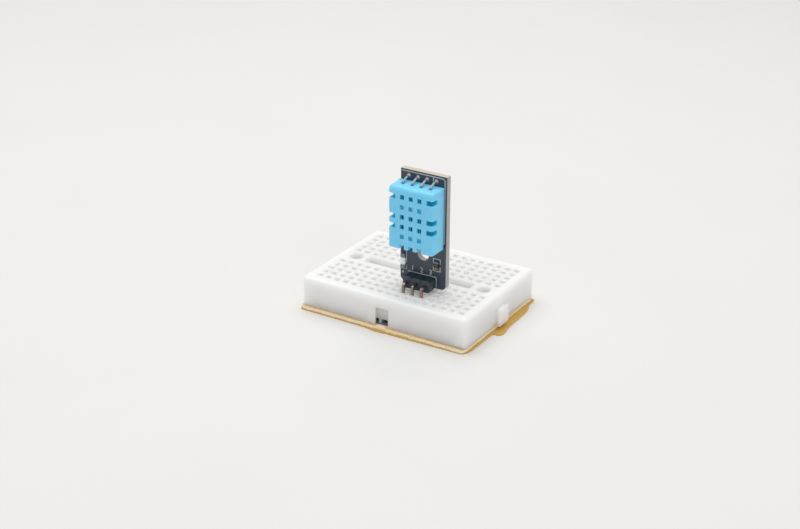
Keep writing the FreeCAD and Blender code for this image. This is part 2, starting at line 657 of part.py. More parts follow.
def solder_joints(name, ways, run, level, wire_width, wire_height, front, hole, neck):
    """Eight-sided solder that fills each plated hole round its wire, a cone behind and a dome in front."""
    base, back = number("dims.joint_radius"), number("dims.card_thickness")
    rear, top = number("dims.card_thickness + dims.joint_height"), number(neck)
    barrel, rise = number(f"{hole} / 2"), number(front)
    width, height = number(wire_width), number(wire_height)

    def octagon(radius, y):
        turns = [radians(45 * corner) for corner in range(8)]
        return [FreeCAD.Vector(radius * cos(turn), y, radius * sin(turn)) for turn in turns]

    joint = flat_sided(octagon(barrel, 0), octagon(barrel, back))
    joint = joint.fuse(flat_sided(octagon(base, back), octagon(top, rear)))
    if rise:
        joint = joint.fuse(flat_sided(octagon(base / 2, -rise), octagon(base, 0)))
    wire = Part.makeBox(width, rise + rear, height, FreeCAD.Vector(-width / 2, -rise, -height / 2))
    joint = joint.cut(wire)
    joints = []
    for way in range(int(number(ways))):
        copy = joint.copy()
        copy.translate(FreeCAD.Vector(number(f"-{run} / 2 + {way} * dims.pitch"), 0, number(level)))
        joints.append(copy)
    solder = kept(piece("Part::Feature", name, (HEADER_X, CARD_FACE_Y, BOARD_TOP)))
    solder.Shape = Part.makeCompound(joints)


# Circuit board and the small parts on it

def circuit_board():
    """Upright card with rounded lower corners, a mounting hole and the plated holes."""
    body = module_body("circuit_board")
    plan = sketch_on(body, "card_plan", "XZ_Plane")
    rectangle(plan, "dims.card_shift", "(dims.card_rise + dims.card_height / 2)",
              "dims.card_width", "dims.card_height")
    card = pad(body, plan, "dims.card_thickness", reverse=True)
    rounded(body, edges(card, "y", z=number("dims.card_rise")), "dims.card_corner")
    holes = sketch_on(body, "card_holes", "XZ_Plane")
    circle(holes, "dims.card_hole_shift", "dims.card_hole_height", "dims.card_hole")
    for way in range(int(number("dims.header_pins"))):
        circle(holes, f"(-{HEADER_RUN} / 2 + {way} * dims.pitch)", PIN_HEIGHT, "dims.pin_hole")
    for way in range(int(number("dims.lead_ways"))):
        circle(holes, f"(-{LEAD_RUN} / 2 + {way} * dims.pitch)", LEAD_ROW, "dims.lead_hole")
    pocket(body, holes, "dims.card_thickness")


def small_part(name, terminals, size):
    """A chip part and its two terminals; size is the prefix of its sizes."""
    x, z = f"dims.{size}_shift", f"dims.{size}_rise"
    width, thickness = f"dims.{size}_width", f"dims.{size}_thickness"
    length, terminal = f"dims.{size}_length", f"dims.{size}_terminal"
    body = module_body(name)
    plan = sketch_on(body, f"{name}_plan", "XZ_Plane")
    rectangle(plan, x, z, width, f"({length} - 2 * {terminal})")
    pad(body, plan, thickness)
    ends = module_body(terminals)
    shape = sketch_on(ends, f"{terminals}_plan", "XZ_Plane")
    for side in ("-", "+"):
        rectangle(shape, x, f"({z} {side} ({length} - {terminal}) / 2)", width, terminal)
    pad(ends, shape, thickness)


# Sensor housing

def inner_width():
    """Clear width and height inside the cover."""
    return ("(dims.sensor_width - 2 * dims.cover_wall)", "(dims.sensor_height - 2 * dims.cover_wall)")


def sensor_cover():
    """Moulded cover: hollow from behind, round at the front, pierced by square vents."""
    body = module_body("sensor_cover")
    back = sketch_on(body, "cover_back", "XZ_Plane", COVER_BACK_Y)
    rectangle(back, "0", SENSOR_MIDDLE, "dims.sensor_width", "dims.sensor_height")
    depth = "(dims.sensor_depth - dims.plate_thickness)"
    block = pad(body, back, depth)
    front = number(COVER_FRONT_Y)
    rounded(body, edges(block, "x", y=front, z=number(SENSOR_TOP)), "dims.cover_round")
    rounded(body, edges(body.Tip, "z", y=front), "dims.cover_side_round")
    inside = sketch_on(body, "cover_inside", "XZ_Plane", COVER_BACK_Y)
    rectangle(inside, "0", SENSOR_MIDDLE, *inner_width())
    pocket(body, inside, f"({depth} - dims.cover_wall)", reverse=True)

    # Square vents in rows, open where a vent also breaks through the corners, and blind between
    vents = sketch_on(body, "vents", "XZ_Plane", COVER_FRONT_Y)
    dimples = sketch_on(body, "dimples", "XZ_Plane", COVER_FRONT_Y)
    notches = sketch_on(body, "corner_notches", "XZ_Plane", COVER_FRONT_Y)
    column_run = "((dims.vent_columns - 1) * dims.vent_pitch_across)"
    row_run = "((dims.vent_rows - 1) * dims.vent_pitch_up)"
    middle = f"({SENSOR_MIDDLE} + dims.vent_rise)"
    open_rows = (1, 2, 4)
    for row in range(int(number("dims.vent_rows"))):
        level = f"({middle} - {row_run} / 2 + {row} * dims.vent_pitch_up)"
        drawing = vents if row in open_rows else dimples
        rectangle(drawing, f"(-{column_run} / 2)", level, "dims.vent_size", "dims.vent_size")
        if row in open_rows:
            for side in ("-", ""):
                rectangle(notches, f"{side}dims.sensor_width / 2", level, "2 * dims.notch_width",
                          "dims.notch_height")
    for drawing, depth in ((vents, "dims.cover_wall"), (dimples, "dims.blind_depth")):
        column = pocket(body, drawing, depth)
        repeat(body, column, "X_Axis", "dims.vent_pitch_across", "dims.vent_columns")
    pocket(body, notches, "dims.notch_depth")
    feet = sketch_on(body, "foot_notches", "XZ_Plane", COVER_FRONT_Y)
    for column in range(int(number("dims.vent_columns"))):
        x = f"(-{column_run} / 2 + {column} * dims.vent_pitch_across)"
        rectangle(feet, x, f"({SENSOR_TOP} - dims.sensor_height)", "dims.foot_notch_width",
                  "2 * dims.foot_notch_height")
    pocket(body, feet, "dims.foot_notch_depth")

    # Slots in the upper wall for the leads
    slots = sketch_on(body, "lead_slots", "XY_Plane", SENSOR_TOP)
    for way in range(int(number("dims.lead_ways"))):
        x = f"(-{LEAD_RUN} / 2 + {way} * dims.pitch)"
        rectangle(slots, x, LEAD_Y, "(dims.lead_width + 2 * dims.lead_slot)",
                  "(dims.lead_thickness + 2 * dims.lead_slot)")
    pocket(body, slots, "dims.cover_wall")


def sensor_back_plate():
    """Plate that closes the cover, with a raised part inside it and two ribs."""
    body = module_body("sensor_back_plate")
    rim = sketch_on(body, "plate_rim", "XZ_Plane", "-dims.sensor_gap")
    rectangle(rim, "0", SENSOR_MIDDLE, "dims.sensor_width", "dims.sensor_height")
    pad(body, rim, "dims.plate_thickness")
    plug = sketch_on(body, "plate_plug", "XZ_Plane", COVER_BACK_Y)
    width, height = inner_width()
    rectangle(plug, "0", SENSOR_MIDDLE, f"({width} - 2 * dims.plug_clearance)",
              f"({height} - 2 * dims.plug_clearance)")
    pad(body, plug, "dims.plug_depth")
    ribs = sketch_on(body, "plate_ribs", "XZ_Plane", f"({COVER_BACK_Y} - dims.plug_depth)")
    for side in ("-", ""):
        rectangle(ribs, f"{side}dims.rib_spacing / 2", SENSOR_MIDDLE, "dims.rib_width",
                  "(dims.sensing_height - 2 * dims.lead_overlap)")
    pad(body, ribs, "dims.sensing_standoff")


# Sensing parts inside the housing

def sensing_parts():
    """Sensing board, humidity plate with two comb electrodes, thermistor and chip."""
    board = module_body("sensing_board")
    plan = sketch_on(board, "sensing_plan", "XZ_Plane", SENSING_BACK_Y)
    rectangle(plan, "0", SENSOR_MIDDLE, "dims.sensing_width", "dims.sensing_height")
    pad(board, plan, "dims.sensing_thickness")
    element = module_body("humidity_element")
    plate = sketch_on(element, "element_plan", "XZ_Plane", SENSING_FRONT_Y)
    rectangle(plate, "0", ELEMENT_MIDDLE, "dims.element_width", "dims.element_height")
    pad(element, plate, "dims.element_thickness")

    combs = module_body("humidity_electrodes")
    spines = sketch_on(combs, "comb_spines", "XZ_Plane", ELEMENT_FRONT_Y)
    line = "dims.comb_line"
    half_height = "(dims.element_height / 2 - dims.comb_margin)"
    run = "((dims.comb_teeth - 1) * dims.comb_pitch)"
    for side in ("-", "+"):
        edge = f"({ELEMENT_MIDDLE} {side} ({half_height} - {line} / 2))"
        rectangle(spines, "0", edge, f"({run} + dims.comb_pitch / 2 + {line})", line)
    pad(combs, spines, "dims.comb_thickness")
    tooth_length = f"(2 * {half_height} - 3 * {line})"
    teeth = sketch_on(combs, "comb_teeth_pair", "XZ_Plane", ELEMENT_FRONT_Y)
    for side, shift in (("-", "-"), ("+", "+")):
        x = f"(-{run} / 2 {shift} dims.comb_pitch / 4)"
        level = f"({ELEMENT_MIDDLE} {side} {line} / 2)"
        rectangle(teeth, x, level, line, tooth_length)
    tooth = pad(combs, teeth, "dims.comb_thickness")
    repeat(combs, tooth, "X_Axis", "dims.comb_pitch", "dims.comb_teeth")

    bead = kept(piece("Part::Cylinder", "thermistor", (
        f"{HEADER_X} - dims.bead_length / 2", f"{CARD_FACE_Y} + {SENSING_FRONT_Y} - dims.bead_radius",
        f"{BOARD_TOP} + {SENSOR_MIDDLE} + dims.bead_rise")))
    bead.setExpression("Radius", "dims.bead_radius")
    bead.setExpression("Height", "dims.bead_length")
    bead.Placement.Rotation = FreeCAD.Rotation(FreeCAD.Vector(0, 1, 0), 90)

    chip = kept(piece("Part::Cone", "signal_chip", (
        HEADER_X, f"{CARD_FACE_Y} + {SENSING_BACK_Y}", f"{BOARD_TOP} + {SENSOR_MIDDLE}")))
    chip.setExpression("Radius1", "dims.chip_radius")
    chip.setExpression("Radius2", "dims.chip_top")
    chip.setExpression("Height", "dims.chip_height")
    chip.Placement.Rotation = FreeCAD.Rotation(FreeCAD.Vector(1, 0, 0), -90)


def sensor_lead(way):
    """Flat lead from the sensing board up through the cover and back into the circuit board."""
    body = kept(piece("PartDesign::Body", f"sensor_lead_{way + 1}",
                      (f"{HEADER_X} - {LEAD_RUN} / 2 + {way} * dims.pitch", CARD_FACE_Y, BOARD_TOP)))
    start = f"({SENSOR_MIDDLE} + dims.sensing_height / 2 - dims.lead_overlap)"
    stand = f"({SENSOR_TOP} + dims.lead_stand)"
    tail = "(dims.card_thickness + dims.lead_tail)"
    section = sketch_on(body, f"lead_section_{way + 1}", "XY_Plane", start)
    rectangle(section, "0", LEAD_Y, "dims.lead_width", "dims.lead_thickness")
    route = [(LEAD_Y, start), (LEAD_Y, stand), ("-dims.joint_radius", LEAD_ROW), (tail, LEAD_ROW)]
    path = sketch_on(body, f"lead_path_{way + 1}", "YZ_Plane")
    points = [FreeCAD.Vector(number(y), number(z), 0) for y, z in route]
    for index in range(len(points) - 1):
        path.addGeometry(Part.LineSegment(points[index], points[index + 1]), False)
        if index:
            path.addConstraint(Sketcher.Constraint("Coincident", index - 1, 2, index, 1))
        hold_point(path, index, 1, *route[index])
    hold_point(path, len(points) - 2, 2, *route[-1])
    doc.recompute()
    lead = body.newObject("PartDesign::AdditivePipe", f"lead_{way + 1}")
    lead.Profile = section
    lead.Spine = path
    lead.Transition = "Right corner"
    lead.Refine = False
    doc.recompute()


board_body()
foam_pad()
release_liner()
all_clips()
circuit_board()
header_insulator()
for way in range(int(number("dims.header_pins"))):
    header_pin(way)
solder_joints("header_solder_joints", "dims.header_pins", HEADER_RUN, PIN_HEIGHT, "dims.pin_size",
              "dims.pin_size", "0", "dims.pin_hole", "dims.pin_size * 3 / 4")
small_part("pull_up_resistor", "resistor_terminals", "resistor")
small_part("power_led", "led_terminals", "lamp")
sensor_back_plate()
sensor_cover()
sensing_parts()
for way in range(int(number("dims.lead_ways"))):
    sensor_lead(way)
solder_joints("sensor_solder_joints", "dims.lead_ways", LEAD_RUN, LEAD_ROW, "dims.lead_width",
              "dims.lead_thickness", "dims.dome_height", "dims.lead_hole", "dims.lead_width")
doc.recompute()

# Every object is sound before anything is written

for item in doc.Objects:
    if "Invalid" in item.State or "Error" in item.State:
        raise RuntimeError(f"{item.Name} failed: {item.State}")
for item in pieces:
    if item.Shape.isNull() or not item.Shape.isValid() or not item.Shape.Solids:
        raise RuntimeError(f"{item.Label} has no valid solid")
os.makedirs("parts", exist_ok=True)
for item in pieces:
    item.Shape.exportStep(f"parts/{item.Label}.step")
    print(item.Label, len(item.Shape.Solids), round(item.Shape.Volume, 3))
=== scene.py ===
import json
from math import cos, pi, radians, sin

import bmesh
import bpy
import numpy as np
from mathutils import Matrix, Vector

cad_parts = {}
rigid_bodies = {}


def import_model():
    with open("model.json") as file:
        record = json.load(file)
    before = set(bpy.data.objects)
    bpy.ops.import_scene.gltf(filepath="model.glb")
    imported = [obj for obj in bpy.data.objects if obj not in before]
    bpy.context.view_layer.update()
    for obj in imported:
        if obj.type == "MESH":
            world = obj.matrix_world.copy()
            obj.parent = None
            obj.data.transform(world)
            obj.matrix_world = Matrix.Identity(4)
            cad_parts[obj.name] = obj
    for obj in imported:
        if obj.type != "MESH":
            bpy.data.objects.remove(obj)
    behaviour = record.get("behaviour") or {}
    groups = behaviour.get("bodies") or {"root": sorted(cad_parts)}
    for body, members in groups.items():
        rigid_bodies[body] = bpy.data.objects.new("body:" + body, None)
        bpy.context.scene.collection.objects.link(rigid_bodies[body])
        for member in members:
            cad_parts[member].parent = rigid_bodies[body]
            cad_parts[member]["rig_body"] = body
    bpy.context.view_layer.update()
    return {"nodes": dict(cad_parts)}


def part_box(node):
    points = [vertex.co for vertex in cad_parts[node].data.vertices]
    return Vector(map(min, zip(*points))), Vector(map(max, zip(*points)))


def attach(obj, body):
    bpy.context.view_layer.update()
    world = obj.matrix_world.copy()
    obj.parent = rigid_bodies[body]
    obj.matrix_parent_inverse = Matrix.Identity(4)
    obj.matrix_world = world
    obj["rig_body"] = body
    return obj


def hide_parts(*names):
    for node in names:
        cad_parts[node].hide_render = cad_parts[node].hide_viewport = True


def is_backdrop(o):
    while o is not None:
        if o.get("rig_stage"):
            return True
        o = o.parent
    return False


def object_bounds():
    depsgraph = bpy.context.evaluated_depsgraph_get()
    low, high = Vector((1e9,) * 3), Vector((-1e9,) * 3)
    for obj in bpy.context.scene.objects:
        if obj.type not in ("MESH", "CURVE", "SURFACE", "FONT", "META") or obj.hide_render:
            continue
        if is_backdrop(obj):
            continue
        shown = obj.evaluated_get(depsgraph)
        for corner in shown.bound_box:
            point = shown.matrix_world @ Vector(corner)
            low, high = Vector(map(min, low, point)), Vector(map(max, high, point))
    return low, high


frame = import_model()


# Camera. It stands 0.4 m away, right of the front and above the board, with a short
# telephoto lens, and looks at a point on the board's top.

azimuth, elevation, roll = radians(31.728), radians(24.629), radians(0.2233)
aim = Vector((-0.006365, 0.0013475, 0.00905))
distance = 0.39933
back = Vector((sin(azimuth) * cos(elevation), -cos(azimuth) * cos(elevation), sin(elevation)))
across = Vector((cos(azimuth), sin(azimuth), 0))
over = back.cross(across)
right = across * cos(roll) + over * sin(roll)
up = over * cos(roll) - across * sin(roll)
eye = bpy.data.cameras.new("eye")
eye.lens, eye.sensor_width = 70.899, 36
camera = bpy.data.objects.new("camera", eye)
bpy.context.scene.collection.objects.link(camera)
turn = Matrix((right, up, back)).transposed().to_4x4()
camera.matrix_world = Matrix.Translation(aim + back * distance) @ turn
bpy.context.scene.camera = camera


# Studio. A pale sheet lies under the object, a wide soft box hangs above it, and a small one
# stands at the right. White surroundings fill the shadows, so that upright faces are only a
# little darker than the top.

class Strand:
    """One output of a shader node. Arithmetic on it adds the Math node that works it out."""

    def __init__(self, finish, outlet):
        self.finish, self.outlet = finish, outlet

    def worked(self, operation, first, second):
        """The value of a Math node with this operation on two values."""
        return self.finish.add("Math", {"operation": operation}, {0: first, 1: second})

    def __add__(self, other):
        return self.worked("ADD", self, other)

    __radd__ = __add__

    def __mul__(self, other):
        return self.worked("MULTIPLY", self, other)

    __rmul__ = __mul__

    def __sub__(self, other):
        return self.worked("SUBTRACT", self, other)

    def __rsub__(self, other):
        return self.worked("SUBTRACT", other, self)

    def over(self, other):
        """The larger of two values."""
        return self.worked("MAXIMUM", self, other)

    def between(self, low, high):
        """0 below low, 1 above high, and a smooth step from one to the other."""
        settings = {"interpolation_type": "SMOOTHSTEP"}
        sockets = {"Value": self, "From Min": low, "From Max": high}
        return self.finish.add("MapRange", settings, sockets)


class Finish:
    """The material of one kind of surface, with one method that adds any node to it. Its colour
    and roughness are plain at first, and varied puts a pattern in their place."""

    def __init__(self, name, colour, roughness, **uniform):
        self.material = bpy.data.materials.new(name)
        self.material.use_nodes = True
        self.nodes = self.material.node_tree.nodes
        self.links = self.material.node_tree.links
        self.shader = self.nodes["Principled BSDF"]
        self.fill(self.shader, {"Base Color": colour, "Roughness": roughness})
        self.varied(**uniform)

    def fill(self, node, sockets):
        """Gives sockets of a node their values or links."""
        for name, value in sockets.items():
            if isinstance(value, Strand):
                self.links.new(value.outlet, node.inputs[name])
            else:
                node.inputs[name].default_value = value

    def add(self, kind, settings=None, sockets=None, outlet=0):
        """Adds a node by its type: its settings come first, then its sockets' values or links."""
        node = self.nodes.new(f"ShaderNode{kind}")
        for name, value in (settings or {}).items():
            setattr(node, name, value)
        self.fill(node, sockets or {})
        return Strand(self, node.outputs[outlet])

    def place(self, axis=None):
        """Object coordinates in metres, or one of them."""
        point = self.add("TexCoord", outlet="Object")
        return point if axis is None else self.add("SeparateXYZ", sockets={0: point}, outlet=axis)

    def facing(self, axis):
        """How far the surface faces along one axis of the object, whichever way."""
        normal = self.add("TexCoord", outlet="Normal")
        side = self.add("SeparateXYZ", sockets={0: normal}, outlet=axis)
        return self.add("Math", {"operation": "ABSOLUTE"}, {0: side})

    def grain(self, size, detail=3.0, stretch=(1, 1, 1)):
        """Noise from 0 to 1 whose lumps are size metres across, or size / stretch along an axis."""
        point = self.add("Mapping", sockets={"Vector": self.place(), "Scale": stretch})
        return self.add("TexNoise", sockets={"Vector": point, "Scale": 1 / size, "Detail": detail})

    def mixed(self, mask, first, second):
        """The first colour where the mask is 0 and the second where it is 1."""
        return self.add("Mix", {"data_type": "RGBA"}, {0: mask, 6: first, 7: second}, outlet=2)

    def relief(self, height, depth):
        """Bumps that stand depth metres high where the height is 1."""
        self.fill(self.shader, {"Normal": self.add("Bump", sockets={"Height": height, "Distance": depth})})

    def varied(self, **sockets):
        """Gives sockets of the shader, named with _ for a space, their values or links."""
        self.fill(self.shader, {name.replace("_", " "): value for name, value in sockets.items()})


def shade(red, green, blue):
    """A colour of the screen, from 0 to 255, as the linear colour that a shader takes: a share s of
    255 becomes ((s + 0.055) / 1.055) ** 2.4, or s / 12.92 where it is below 0.04045."""
    screen = np.array([red, green, blue]) / 255
    linear = np.where(screen < 0.04045, screen / 12.92, ((screen + 0.055) / 1.055) ** 2.4)
    return (*linear.tolist(), 1)


def linked(name, mesh, finish):
    """An object at the origin for a finished mesh."""
    mesh.materials.clear()
    mesh.materials.append(finish.material)
    item = bpy.data.objects.new(name, mesh)
    bpy.context.scene.collection.objects.link(item)
    return item


floor_reach = 3.0
floor_finish = Finish("pale_sheet", colour=shade(227, 226, 224), roughness=0.7)
tone = floor_finish.grain(size=0.05, detail=2.0)
floor_finish.varied(Base_Color=floor_finish.mixed(tone, shade(229, 228, 226), shade(225, 224, 222)))
floor_finish.relief(floor_finish.grain(size=0.0006), depth=0.00002)
sheet = bpy.data.meshes.new("floor")
corners = [(-floor_reach, -floor_reach, 0), (floor_reach, -floor_reach, 0),
           (floor_reach, floor_reach, 0), (-floor_reach, floor_reach, 0)]
sheet.from_pydata(corners, [], [(0, 1, 2, 3)])
floor = linked("floor", sheet, floor_finish)
floor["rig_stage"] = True

surroundings = bpy.data.worlds.new("surroundings")
surroundings.use_nodes = True
air = surroundings.node_tree.nodes["Background"]
air.inputs["Color"].default_value = (1.0, 0.992, 0.98, 1)
air.inputs["Strength"].default_value = 0.55
bpy.context.scene.world = surroundings
bpy.context.scene.view_settings.view_transform = "Standard"

lit_point = Vector((0, 0, 0.015))


def soft_box(name, place, size, power):
    """A square light, size metres wide, that faces the lit point."""
    lamp = bpy.data.lights.new(name, "AREA")
    lamp.size, lamp.energy = size, power
    item = bpy.data.objects.new(name, lamp)
    bpy.context.scene.collection.objects.link(item)
    item.location = place
    item.rotation_mode = "QUATERNION"
    item.rotation_quaternion = (Vector(place) - lit_point).to_track_quat("Z", "Y")


soft_box("box_above", place=(-0.10, 0.06, 0.62), size=0.75, power=3.3)
soft_box("box_right", place=(0.55, -0.30, 0.35), size=0.30, power=0.35)


# Tie-point board. One white moulding carries 170 square funnel holes, the centre channel,
# two recessed screw holes, and a dovetail key or slot on each side.

same_point, sharp_edge = 1e-7, radians(28)


def softened(name, node, finish, width, segments=2):
    """A copy of a CAD piece whose sharp edges have a small round of this width. It stands for
    the node and rides on its body."""
    shell = bmesh.new()
    shell.from_mesh(frame["nodes"][node].data)
    bmesh.ops.remove_doubles(shell, verts=shell.verts, dist=same_point)
    mesh = bpy.data.meshes.new(name)
    points = [vertex.co[:] for vertex in shell.verts]
    faces = [[vertex.index for vertex in face.verts] for face in shell.faces]
    shell.free()
    mesh.from_pydata(points, [], faces)
    mesh.shade_smooth()
    item = linked(name, mesh, finish)
    round_off = item.modifiers.new("round", "BEVEL")
    round_off.width, round_off.segments = width, segments
    round_off.limit_method, round_off.angle_limit = "ANGLE", sharp_edge
    round_off.use_clamp_overlap = False
    round_off.harden_normals = True
    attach(item, frame["nodes"][node]["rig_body"])
    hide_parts(node)


def dress(finish, *nodes):
    """Gives CAD nodes, which keep their own meshes, a finish."""
    for node in nodes:
        for slot in frame["nodes"][node].material_slots:
            slot.material = finish.material


# The emission is a painted glow; it lights only the walls of the tie holes, below.
board_finish = Finish("white_moulding", colour=shade(245, 245, 243), roughness=0.4,
                      Subsurface_Weight=1.0, Subsurface_Radius=(0.0045, 0.0045, 0.0045),
                      Subsurface_Scale=1.0, Emission_Strength=0.28)
flow = board_finish.grain(size=0.009, detail=2.0, stretch=(1, 1.6, 1))
fine_grain = board_finish.grain(size=0.00022, detail=4.0)

# The walls of the tie holes have a painted glow, an emission that stands for light passing on
# through the thin white plastic, and painted shade, a greyer base colour. The glow ends 5 mm
# below the top, and keeps off the channel, the screw holes and the sides.
board_low, board_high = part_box("board_body")
top_start, top_end, glow_depth, glow_fade = 0.00005, 0.0005, 0.005, 0.001
channel_half, channel_clear = 0.002, 0.0024
left_wall, front_wall, key_reach, wall_fade = 0.0024, 0.0012, 0.0012, 0.0006
drop = board_high.z - board_finish.place("Z")
hole_glow_and_shade = drop.between(top_start, top_end) * (glow_depth - drop).between(0, glow_fade)
aside = board_finish.place("Y") - (board_low.y + board_high.y) / 2
hole_glow_and_shade = hole_glow_and_shade * (aside * aside).between(channel_half ** 2, channel_clear ** 2)
hole_field = {"X": (board_low.x + left_wall, board_high.x - key_reach),
              "Y": (board_low.y + front_wall, board_high.y - key_reach)}
for axis, (start, end) in hole_field.items():
    along = board_finish.place(axis)
    hole_glow_and_shade = hole_glow_and_shade * along.between(start, start + wall_fade)
    hole_glow_and_shade = hole_glow_and_shade * (end - along).between(0, wall_fade)
surface = board_finish.mixed(flow, shade(247, 246, 244), shade(243, 243, 242))
painted_hole_shade, unlit, painted_hole_glow = shade(178, 178, 176), (0, 0, 0, 1), (1, 0.99, 0.97, 1)
board_finish.varied(
    Base_Color=board_finish.mixed(hole_glow_and_shade, surface, painted_hole_shade),
    Roughness=0.36 + 0.14 * fine_grain,
    Emission_Color=board_finish.mixed(hole_glow_and_shade, unlit, painted_hole_glow),
)
board_finish.relief(fine_grain + 0.6 * flow, depth=0.000012)
softened("board_moulding", "board_body", board_finish, width=0.00012)


# Spring clips. Each is a strip of thin tinned bronze that is stamped and folded. It stands in
# the cell under five holes in line, and its fingers grip a wire from both sides.

# The clips are painted dark: their colours hold painted shade for the cells they stand in.
clip_finish = Finish("tinned_bronze", colour=shade(110, 103, 93), roughness=0.36, Metallic=1.0)
rolled = clip_finish.grain(size=0.0004, stretch=(1, 6, 1))
clip_finish.varied(
    Base_Color=clip_finish.mixed(rolled, shade(128, 122, 112), shade(92, 84, 74)),
    Roughness=0.26 + 0.2 * rolled,
)
dress(clip_finish, "engaged_clip_1", "engaged_clip_2", "engaged_clip_3",
      "front_clips_left", "front_clips_right", "rear_clips")


# Foam pad. A sheet of cream double-sided foam, knife-cut a little larger than the moulding,
# holds the clips in and sticks the board down. Its cut sides show open cells, and it swells
# up a little in the front slot, where nothing presses it flat.

def skin(grid):
    """Faces over a grid of points, rows by columns by 3. Each row is a closed ring, four points of
    two rings in turn make a face, and one flat face closes the first ring and one the last."""
    rows, columns = grid.shape[:2]
    index = np.arange(rows * columns).reshape(rows, columns)
    near, far = index[:-1], index[1:]
    quads = np.stack([near, np.roll(near, -1, 1), np.roll(far, -1, 1), far], -1).reshape(-1, 4)
    faces = quads.tolist() + [index[0, ::-1].tolist(), index[-1].tolist()]
    return grid.reshape(-1, 3), faces


def piece(name, shapes, finish, body, slot, *nodes):
    """A new piece from one or more grids that skin has closed. It rides on a body and may stand
    for CAD nodes."""
    points, faces, start = [], [], 0
    for shape_points, shape_faces in shapes:
        points.append(shape_points)
        faces += [[start + corner for corner in face] for face in shape_faces]
        start += len(shape_points)
    mesh = bpy.data.meshes.new(name)
    mesh.from_pydata(np.vstack(points).tolist(), [], faces)
    shell = bmesh.new()
    shell.from_mesh(mesh)
    bmesh.ops.recalc_face_normals(shell, faces=shell.faces)
    shell.to_mesh(mesh)
    shell.free()
    mesh.shade_smooth()
    item = linked(name, mesh, finish)
    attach(item, body)
    if nodes:
        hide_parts(*nodes)
    return item


def rounded_plan(low, high, radius, step):
    """Points round a rectangle with round corners, about one every step metres, the outward
    direction at each, and the length run so far. The run is four pairs of a straight and a
    quarter round. A point is its straight's start + ahead * length along it, or its corner's
    centre + radius * (cos, sin)."""
    half = (np.array(high) - np.array(low)) / 2
    middle = (np.array(high) + np.array(low)) / 2
    straight = 2 * (half - radius)
    run = [straight[1], radius * pi / 2, straight[0], radius * pi / 2] * 2
    ends = np.concatenate([[0], np.cumsum(run)])
    count = int(ends[-1] / step)
    arc = np.linspace(0, ends[-1], count, endpoint=False)
    part = np.searchsorted(ends, arc, side="right") - 1
    share = arc - ends[part]
    turn = np.where(part % 2 == 1, share / radius, 0) + (part // 2) * pi / 2
    outward = np.stack([np.cos(turn), np.sin(turn)], 1)
    ahead = np.stack([-outward[:, 1], outward[:, 0]], 1)
    centre_signs = np.array([(1, -1), (1, 1), (-1, 1), (-1, -1)])
    starts = centre_signs[part // 2] * (half - radius)
    at_corner = centre_signs[(part // 2 + 1) % 4] * (half - radius)
    base = np.where((part % 2 == 1)[:, None], at_corner, starts + ahead * share[:, None])
    return middle + base + outward * radius, outward, arc


foam_low, foam_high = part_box("foam_pad")
# The emission is a painted glow that lightens the foam, cream at its rim and dim blue-grey under the
# board.
foam_finish = Finish("cream_foam", colour=shade(240, 228, 200), roughness=0.95,
                     Subsurface_Weight=0.1, Subsurface_Radius=(0.0006, 0.0005, 0.0004),
                     Subsurface_Scale=1.0, Emission_Strength=0.14)
cell_size = 0.00032
cells = foam_finish.add("TexVoronoi", sockets={"Vector": foam_finish.place(), "Scale": 1 / cell_size})
stain = foam_finish.grain(size=0.004)
speckle = cells.between(0.15, 0.75) * 0.55 + stain * 0.45
cut_face = foam_finish.mixed(speckle, shade(226, 210, 176), shade(248, 240, 218))

# A golden film lies on top, also over the swelling. Where it is under the board it has painted
# shade: a dark blue-grey colour with a dim painted glow.
swell, swell_half, shoulder, swell_back, back_fade = 0.00055, 0.0017, 0.0009, 0.0015, 0.0001
film_edge, film_fade = 0.00008, 0.0002
wall_start, wall_end = 0.0011, 0.0016
swelling = swell * (foam_low.y + swell_back - foam_finish.place("Y")).between(0, back_fade)
for side in (-1, 1):
    swelling = swelling * (swell_half - side * foam_finish.place("X")).between(0, shoulder)
below_film = (foam_high.z + swelling - foam_finish.place("Z")).between(film_edge, film_fade)
painted_shade_under_board = 1.0
for axis, low, high in (("X", foam_low.x, foam_high.x), ("Y", foam_low.y, foam_high.y)):
    along = foam_finish.place(axis)
    painted_shade_under_board = painted_shade_under_board * (along - low).between(wall_start, wall_end)
    painted_shade_under_board = painted_shade_under_board * (high - along).between(wall_start, wall_end)
film_with_painted_shade = foam_finish.mixed(painted_shade_under_board, shade(216, 182, 120), shade(92, 100, 110))
foam_finish.varied(
    Base_Color=foam_finish.mixed(below_film, film_with_painted_shade, cut_face),
    Emission_Color=foam_finish.mixed(painted_shade_under_board, shade(226, 204, 164), shade(112, 134, 156)),
)
foam_finish.relief(cells, depth=0.00012)
foam_plan, foam_out, foam_arc = rounded_plan(
    low=(foam_low.x, foam_low.y), high=(foam_high.x, foam_high.y), radius=0.00135, step=0.00025)


def eased(distance, reach):
    """0 below a distance of 0, 1 above reach, and t * t * (3 - 2 * t) at the share t between."""
    part = np.clip(distance / reach, 0, 1)
    return part * part * (3 - 2 * part)


